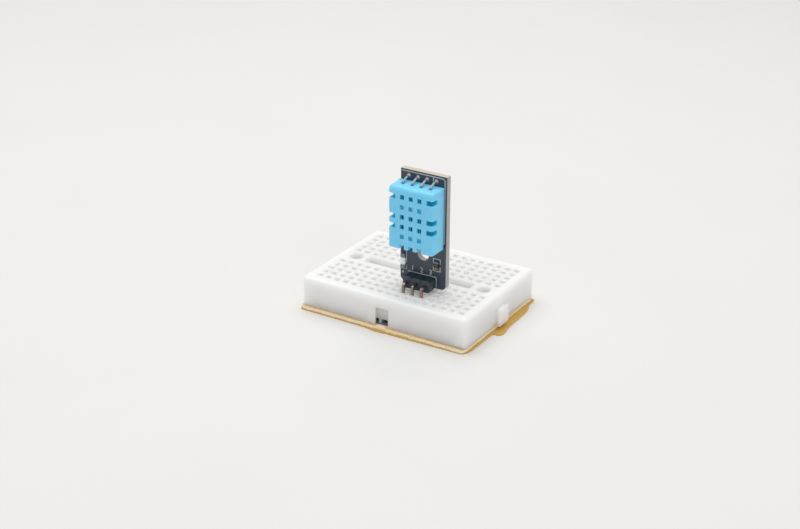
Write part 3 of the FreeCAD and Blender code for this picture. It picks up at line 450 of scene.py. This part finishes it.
# The cut side has nine rows. A point lies outwards by a half wave up the side plus a ripple of
# three waves, less the depth that the cut draws in, and never past the foam's box. Three more
# rows lead inwards over the top and bring the swelling down to it.
side_rows, belly, wave_height, drawn_in = 9, 0.00010, 0.00005, 0.00012
long_wave, short_wave, fine_wave = 0.0061, 0.0023, 0.0009
share = np.linspace(0, 1, side_rows)[:, None]
turns = foam_arc * 2 * pi
ripple = wave_height * (np.sin(turns / long_wave) + np.sin(turns / short_wave + 1)
                        + 0.7 * np.sin(turns / fine_wave + 2 + 3 * share))
bulge = np.minimum(belly * np.sin(pi * share) + ripple - drawn_in, 0)
front_facing = -0.9
on_front = foam_out[:, 1] < front_facing
lift = swell * eased(swell_half - np.abs(foam_plan[:, 0]), shoulder) * on_front
inward, left_over = np.array([(0.0003, 1), (0.0008, 0.45), (0.00125, 0)]).T[..., None]
foam_grid = np.empty((side_rows + len(inward), len(foam_arc), 3))
foam_grid[:side_rows, :, :2] = foam_plan + foam_out * bulge[..., None]
foam_grid[side_rows:, :, :2] = foam_plan - foam_out * inward[..., None]
foam_grid[:side_rows, :, 2] = foam_low.z + (foam_high.z - foam_low.z + lift) * share
foam_grid[side_rows:, :, 2] = foam_high.z + lift * left_over
foam_sheet = piece("foam_sheet", [skin(foam_grid)], foam_finish, "tie_point_board", "foam", "foam_pad")


# Release liner. Waxed yellow paper still covers the foam's lower side, and its flaps show
# below the front slot and the right key.

liner_finish = Finish("waxed_paper", colour=shade(202, 161, 72), roughness=0.45,
                      Coat_Weight=0.15, Coat_Roughness=0.4)
fibre = liner_finish.grain(size=0.0011, detail=5.0, stretch=(1, 3, 1))
blotch = liner_finish.grain(size=0.006)
mottle = fibre * 0.6 + blotch * 0.4
liner_finish.varied(
    Base_Color=liner_finish.mixed(mottle, shade(182, 138, 52), shade(222, 184, 92)),
    Roughness=0.38 + 0.2 * fibre,
)
liner_finish.relief(fibre, depth=0.00002)
dress(liner_finish, "release_liner")


# Circuit board. Black-masked glass-fibre board, sawn to size, with tinned pads round its
# plated holes. The mask covers the two faces only, so edges and hole walls are pale.

card_finish = Finish("black_mask", colour=shade(60, 68, 79), roughness=0.32, IOR=1.5)


def stripes(axis, size, wobble, detail):
    """Wavy stripes from 0 to 1 across one axis of the card, one for every third of size or so."""
    settings = {"wave_type": "BANDS", "bands_direction": axis}
    sockets = {"Vector": card_finish.place(), "Scale": 1 / size, "Distortion": wobble, "Detail": detail}
    return card_finish.add("TexWave", settings, sockets, outlet="Fac")


bare_facing, masked_facing = 0.55, 0.75
masked = card_finish.facing("Y").between(bare_facing, masked_facing)
warp = stripes("X", size=0.0024, wobble=1.2, detail=2.0)
weft = stripes("Z", size=0.0028, wobble=1.2, detail=2.0)
cloth = 0.5 * warp + 0.5 * weft
layers = stripes("Y", size=0.0011, wobble=0.8, detail=3.0)
face_colour = card_finish.mixed(cloth, shade(57, 64, 75), shade(63, 71, 82))
saw_marks = 0.5 * layers + 0.5 * card_finish.grain(size=0.0005)
# The upper edge is painted lighter and warmer than the side edges: painted light and shade by the way each
# edge faces.
upper_edge_painted_light = card_finish.mixed(saw_marks, shade(186, 177, 161), shade(211, 203, 189))
side_edge_painted_shade = card_finish.mixed(saw_marks, shade(158, 158, 162), shade(196, 196, 199))
edge_colour = card_finish.mixed(card_finish.facing("Z"), side_edge_painted_shade, upper_edge_painted_light)
card_finish.varied(
    Base_Color=card_finish.mixed(masked, edge_colour, face_colour),
    Roughness=0.75 - masked * (0.45 - 0.08 * cloth),
)
card_finish.relief(cloth * masked, depth=0.000008)
dress(card_finish, "circuit_board")

card_low, card_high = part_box("circuit_board")
face_y, rear_y = card_low.y, card_high.y
board_top, header_x, pitch = 0.00905, 0.00508, 0.00254
pin_rise, lead_rise = 0.0017, 0.0286
pin_places = [(header_x + (way - 1) * pitch, board_top + pin_rise) for way in range(3)]
lead_places = [(header_x + (way - 1.5) * pitch, board_top + lead_rise) for way in range(4)]


def turned(profile, centre, sides=28):
    """A profile of (radius, depth) pairs turned round the line along Y through centre: the point
    at an angle is centre + (radius * cos, depth, radius * sin), so depth grows towards the back."""
    radius, depth = np.array(profile).T
    angle = np.linspace(0, 2 * pi, sides, endpoint=False)
    grid = np.empty((len(radius), sides, 3))
    grid[..., 0] = centre[0] + radius[:, None] * np.cos(angle)
    grid[..., 1] = centre[1] + depth[:, None]
    grid[..., 2] = centre[2] + radius[:, None] * np.sin(angle)
    return skin(grid)


solder_finish = Finish("solder", colour=shade(177, 175, 173), roughness=0.32, Metallic=1.0)
frost = solder_finish.grain(size=0.0003, detail=4.0)
solder_finish.varied(
    Base_Color=solder_finish.mixed(frost, shade(202, 200, 198), shade(152, 150, 148)),
    Roughness=0.2 + 0.3 * frost,
)
solder_finish.relief(frost, depth=0.00002)
pin_ring, lead_ring, plated_hole, copper = 0.00082, 0.00064, 0.0004, 0.000035
rings = []
for reach, places in ((pin_ring, pin_places), (lead_ring, lead_places)):
    on_face = np.array([(plated_hole, -copper), (reach - copper, -copper), (reach, 0), (plated_hole, 0)])
    for x, z in places:
        rings.append(turned(on_face, (x, face_y, z)))
        rings.append(turned(on_face * (1, -1), (x, rear_y, z)))
piece("plated_rings", rings, solder_finish, "sensor_module", "tinned_metal")


# Ink on the circuit board. Pale screen-printed lines frame the parts and the edge, with a
# dot under the lamp and a number over each pin.

ink_width, ink_thickness = 0.00024, 0.00002


def line_of_ink(route):
    """A flat line on the card's face through (x, z) points: each edge is half a width off the
    route, square to the mean direction of the two steps that meet at a point."""
    route = np.array(route, float)
    step = np.diff(route, axis=0)
    step /= np.linalg.norm(step, axis=1)[:, None]
    ahead = np.vstack([step[:1], step[:-1] + step[1:], step[-1:]])
    ahead /= np.linalg.norm(ahead, axis=1)[:, None]
    side = np.stack([-ahead[:, 1], ahead[:, 0]], 1) * ink_width / 2
    grid = np.empty((len(route), 4, 3))
    grid[:, 0::3, ::2] = (route + side)[:, None]
    grid[:, 1:3, ::2] = (route - side)[:, None]
    grid[:, :2, 1] = face_y
    grid[:, 2:, 1] = face_y - ink_thickness
    return skin(grid)


def corner(centre, radius, points=7):
    """Points of the upper right quarter round of this centre: centre + radius * (cos, sin)."""
    angle = np.radians(np.linspace(90, 0, points))
    return [(centre[0] + radius * cos(turn), centre[1] + radius * sin(turn)) for turn in angle]


ink_finish = Finish("screen_ink", colour=shade(191, 201, 204), roughness=0.6)
worn = ink_finish.grain(size=0.00025)
ink_finish.varied(Base_Color=ink_finish.mixed(worn, shade(206, 214, 216), shade(176, 188, 192)))
ink_finish.relief(worn, depth=0.000006)
mm = 0.001
ink_routes = {
    "card_edge": [(-0.62, 38.74)] + corner((10.63, 38.02), 0.7) + [(11.33, 21.95)],
    "beside_last_lead": [(8.1, 37.3), (8.1, 38.72)],
    "over_resistor": [(8.38, 16.3), (8.38, 17.6), (10.3, 17.6), (10.3, 16.3)],
    "under_resistor": [(8.38, 15.6), (8.38, 14.35), (10.3, 14.35), (10.3, 15.6)],
    "beside_lamp": [(0.75, 17.75), (0.75, 14.65)],
    "under_lamp": [(0.75, 14.05), (0.75, 12.9), (-0.55, 12.9)],
    "over_header": [(1.16, 12.52)] + corner((8.86, 12.25), 0.4) + [(9.26, 9.95)],
}
ink = [line_of_ink(np.array(route) * mm) for route in ink_routes.values()]
dot_core, dot_top, dot_foot, dot_place = 0.00005, 0.00026, 0.00028, (-0.00026, face_y, 0.01195)
dot_profile = [(dot_core, -ink_thickness), (dot_top, -ink_thickness), (dot_foot, 0), (dot_core, 0)]
ink.append(turned(dot_profile, dot_place, sides=20))
piece("printed_lines", ink, ink_finish, "sensor_module", "carbon_print")
digit_size, digit_foot, half_ink = 0.0019, 0.0130, 0.00001
for way, (x, z) in enumerate(pin_places):
    word = bpy.data.curves.new(f"digit_{way + 1}", "FONT")
    word.body, word.size, word.align_x = str(way + 1), digit_size, "CENTER"
    word.extrude, word.resolution_u = half_ink, 3
    outline = bpy.data.objects.new("outline", word)
    bpy.context.scene.collection.objects.link(outline)
    bpy.context.view_layer.update()
    mesh = bpy.data.meshes.new_from_object(outline.evaluated_get(bpy.context.evaluated_depsgraph_get()))
    bpy.data.objects.remove(outline)
    upright = Matrix.Rotation(pi / 2, 4, "X")
    mesh.transform(Matrix.Translation((x, face_y - half_ink, digit_foot)) @ upright)
    digit = linked(f"pin_number_{way + 1}", mesh, ink_finish)
    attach(digit, "sensor_module")


# Header. Three square tinned pins pass through a black moulding of eight-sided ways and are
# bent down into the board; each is soldered behind the card.

nylon_finish = Finish("black_nylon", colour=shade(50, 60, 70), roughness=0.42)
speck = nylon_finish.grain(size=0.00018)
front_tone = nylon_finish.mixed(speck, shade(54, 62, 72), shade(68, 76, 87))
# The top faces are painted darker than the front: painted shade by the way they face.
top_tone_painted_shade = nylon_finish.mixed(speck, shade(34, 45, 54), shade(44, 56, 65))
nylon_finish.varied(
    Base_Color=nylon_finish.mixed(nylon_finish.facing("Z"), front_tone, top_tone_painted_shade),
    Roughness=0.36 + 0.16 * speck,
)
nylon_finish.relief(speck, depth=0.00001)
softened("header_block", "header_insulator", nylon_finish, width=0.00008)

pin_finish = Finish("coppery_tin", colour=shade(160, 140, 124), roughness=0.36, Metallic=1.0)
drawn = pin_finish.grain(size=0.0003, stretch=(6, 6, 1))
pin_finish.varied(
    Base_Color=pin_finish.mixed(drawn, shade(186, 168, 154), shade(132, 110, 96)),
    Roughness=0.24 + 0.2 * drawn,
)
for way in range(3):
    softened(f"pin_{way + 1}", f"header_pin_{way + 1}", pin_finish, width=0.00004)
joint_height, pole = 0.00085, 0.00002


def creep(foot, neck, hole, start, rows=8):
    """Profile of solder that fills a hole from the depth start and creeps up a wire behind the
    card: its radius is neck + (foot - neck) * (1 - t) ** 3 at the share t of its height."""
    share = np.linspace(0, 1, rows)
    radius = neck + (foot - neck) * (1 - share) ** 3
    depth = rear_y - face_y + joint_height * share
    plug = [(hole, start), (hole, depth[0])]
    return plug + list(zip(radius, depth)) + [(pole, depth[-1] + neck / 8)]


pin_plug = 0.0002
pin_joint = [(pole, pin_plug)] + creep(foot=0.00078, neck=0.00042, hole=0.00045, start=pin_plug)
piece("pin_solder", [turned(pin_joint, (x, face_y, z)) for x, z in pin_places], solder_finish,
      "sensor_module", "solder", "header_solder_joints")


# Small parts. A chip resistor, a ceramic block under a dark glaze, and a chip lamp, a clear
# moulding, are soldered flat on the card's face by their tinned ends.

chip_finish = Finish("chip_glaze", colour=shade(59, 54, 51), roughness=0.3)
glaze = chip_finish.grain(size=0.0003)
chip_finish.varied(Base_Color=chip_finish.mixed(glaze, shade(46, 42, 40), shade(72, 66, 62)))
softened("resistor", "pull_up_resistor", chip_finish, width=0.00006)

dull_finish = Finish("dull_tin", colour=shade(130, 134, 138), roughness=0.5, Metallic=0.7)
tarnish = dull_finish.grain(size=0.0004, stretch=(1, 1, 4))
dull_finish.varied(
    Base_Color=dull_finish.mixed(tarnish, shade(152, 156, 159), shade(108, 112, 117)),
    Roughness=0.36 + 0.2 * tarnish,
)
softened("resistor_ends", "resistor_terminals", dull_finish, width=0.00008, segments=3)

# The lens's emission is a painted glow that lightens it.
lens_finish = Finish("clear_lens", colour=shade(245, 245, 242), roughness=0.12,
                     Transmission_Weight=0.08, IOR=1.5, Subsurface_Weight=0.5,
                     Subsurface_Radius=(0.0006, 0.0006, 0.0005), Subsurface_Scale=1.0,
                     Emission_Strength=0.22)
haze_and_painted_glow = lens_finish.grain(size=0.0006)
lens_finish.varied(
    Base_Color=lens_finish.mixed(haze_and_painted_glow, shade(250, 250, 248), shade(240, 240, 236)),
    Emission_Color=lens_finish.mixed(haze_and_painted_glow, shade(150, 151, 152), shade(112, 112, 112)),
)
softened("lamp_lens", "power_led", lens_finish, width=0.00022, segments=4)
softened("lamp_ends", "led_terminals", dull_finish, width=0.00010, segments=3)


# Sensor housing. A blue moulded cover with a grille of square vents closes over a back
# plate; both stand just off the card on the four leads.

# The emission is a painted glow: blue over the outside, greener at the vents' mouths, and brightest in
# their throats and the leads' slots.
blue_finish = Finish("blue_moulding", colour=shade(123, 206, 243), roughness=0.38,
                     Subsurface_Weight=0.35, Subsurface_Radius=(0.0008, 0.0013, 0.0015),
                     Subsurface_Scale=1.0, Emission_Strength=0.45)
cloud = blue_finish.grain(size=0.004, detail=2.0)
fine_grain = blue_finish.grain(size=0.00016)

# The walls of the vents have painted shade: greener than the front at their mouths, and
# darkest at their throats. A painted glow, for the light through the plastic, is brightest in
# the throats and the leads' slots.
cover_low, cover_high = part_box("sensor_cover")
side_start, side_end = 0.0002, 0.0006
end_start, end_end = 0.0005, 0.0012
slot_front, slot_front_end, slot_rim, slot_rim_end = 0.0015, 0.002, 0.00005, 0.0003
mouth_start, mouth_end, throat_start, throat_end = 0.0001, 0.0007, 0.0005, 0.0014
x, y, z = [blue_finish.place(axis) for axis in "XYZ"]
skin_depth, from_base, from_top = y - cover_low.y, z - cover_low.z, cover_high.z - z
between_sides = (x - cover_low.x).between(side_start, side_end)
between_sides = between_sides * (cover_high.x - x).between(side_start, side_end)
inside = between_sides * from_base.between(end_start, end_end) * from_top.between(end_start, end_end)
lead_slot_painted_glow = between_sides * skin_depth.between(slot_front, slot_front_end)
lead_slot_painted_glow = lead_slot_painted_glow * from_top.between(slot_rim, slot_rim_end)
mouth_painted_shade = inside * skin_depth.between(mouth_start, mouth_end)
throat_painted_shade_and_glow = inside * skin_depth.between(throat_start, throat_end)
outside = blue_finish.mixed(cloud, shade(118, 203, 240), shade(128, 209, 246))
outside_with_mouth_shade = blue_finish.mixed(mouth_painted_shade, outside, shade(44, 158, 180))
painted_outer_glow = blue_finish.mixed(mouth_painted_shade, shade(16, 82, 108), shade(4, 84, 92))
blue_finish.varied(
    Base_Color=blue_finish.mixed(throat_painted_shade_and_glow, outside_with_mouth_shade, shade(24, 140, 172)),
    Roughness=0.34 + 0.18 * fine_grain,
    Emission_Color=blue_finish.mixed(throat_painted_shade_and_glow.over(lead_slot_painted_glow), painted_outer_glow, shade(30, 152, 188)),
)
blue_finish.relief(fine_grain + 0.4 * cloud, depth=0.00001)
softened("housing_cover", "sensor_cover", blue_finish, width=0.00014, segments=3)
softened("housing_plate", "sensor_back_plate", blue_finish, width=0.00010)


# Sensing parts. Behind the grille a small board carries a ceramic humidity plate with two
# printed combs and a temperature bead; a chip under epoxy sits on its back. Board and plate
# are painted teal and have a painted teal glow, for the light that comes through the blue cover.

# The plate's teal colour and emission are painted light, for the light through the blue cover.
ceramic_finish = Finish("film_on_ceramic_in_painted_teal_light", colour=shade(43, 123, 143), roughness=0.6,
                        Emission_Strength=0.5)
fired_tone_and_glow = ceramic_finish.grain(size=0.0004)
ceramic_finish.varied(
    Base_Color=ceramic_finish.mixed(fired_tone_and_glow, shade(34, 112, 132), shade(52, 134, 154)),
    Emission_Color=ceramic_finish.mixed(fired_tone_and_glow, shade(22, 142, 170), shade(40, 166, 196)),
)
ceramic_finish.relief(fired_tone_and_glow, depth=0.00001)
dress(ceramic_finish, "humidity_element")

carbon_finish = Finish("carbon_print", colour=shade(61, 59, 57), roughness=0.7)
soot = carbon_finish.grain(size=0.0002)
carbon_finish.varied(Base_Color=carbon_finish.mixed(soot, shade(44, 42, 41), shade(78, 75, 72)))
dress(carbon_finish, "humidity_electrodes")

# The board's teal colour and emission are painted light, for the light through the blue cover.
inner_finish = Finish("mask_in_painted_teal_light", colour=shade(30, 115, 135), roughness=0.4, Emission_Strength=0.5)
blur = inner_finish.grain(size=0.0012)
inner_finish.varied(
    Base_Color=inner_finish.mixed(blur, shade(24, 104, 124), shade(36, 126, 146)),
    Emission_Color=inner_finish.mixed(blur, shade(12, 112, 138), shade(26, 136, 164)),
)
dress(inner_finish, "sensing_board")

epoxy_finish = Finish("black_epoxy", colour=shade(29, 29, 31), roughness=0.25)
swirl = epoxy_finish.grain(size=0.0009)
epoxy_finish.varied(Base_Color=epoxy_finish.mixed(swirl, shade(20, 20, 22), shade(38, 38, 41)))
epoxy_finish.relief(swirl, depth=0.00004)
dress(epoxy_finish, "thermistor", "signal_chip")


# Sensor leads. Four flat tinned leads come up out of the cover, bend back and go through
# the card, where a bead of solder holds each on both faces.

lead_finish = Finish("tinned_lead", colour=shade(146, 155, 162), roughness=0.5, Metallic=0.6)
combed = lead_finish.grain(size=0.0004, stretch=(1, 1, 4))
lead_finish.varied(
    Base_Color=lead_finish.mixed(combed, shade(168, 177, 183), shade(124, 133, 140)),
    Roughness=0.4 + 0.2 * combed,
)
dress(lead_finish, *[f"sensor_lead_{way + 1}" for way in range(4)])


def dome(radius, height, rows=7):
    """Profile of a bead on the card's face: its height at r is height * (1 - (r / radius) ** 2)."""
    reach = np.linspace(pole, radius, rows)
    return list(zip(reach, height * ((reach / radius) ** 2 - 1)))


lead_joint = dome(radius=0.00055, height=0.00042) + creep(foot=0.00062, neck=0.0003, hole=0.0004, start=0)
piece("lead_solder", [turned(lead_joint, (x, face_y, z)) for x, z in lead_places], solder_finish,
      "sensor_module", "solder", "sensor_solder_joints")


# Box. The visual model keeps to the CAD model's box. Its least and its greatest corner
# are worked out, in metres.

low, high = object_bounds()
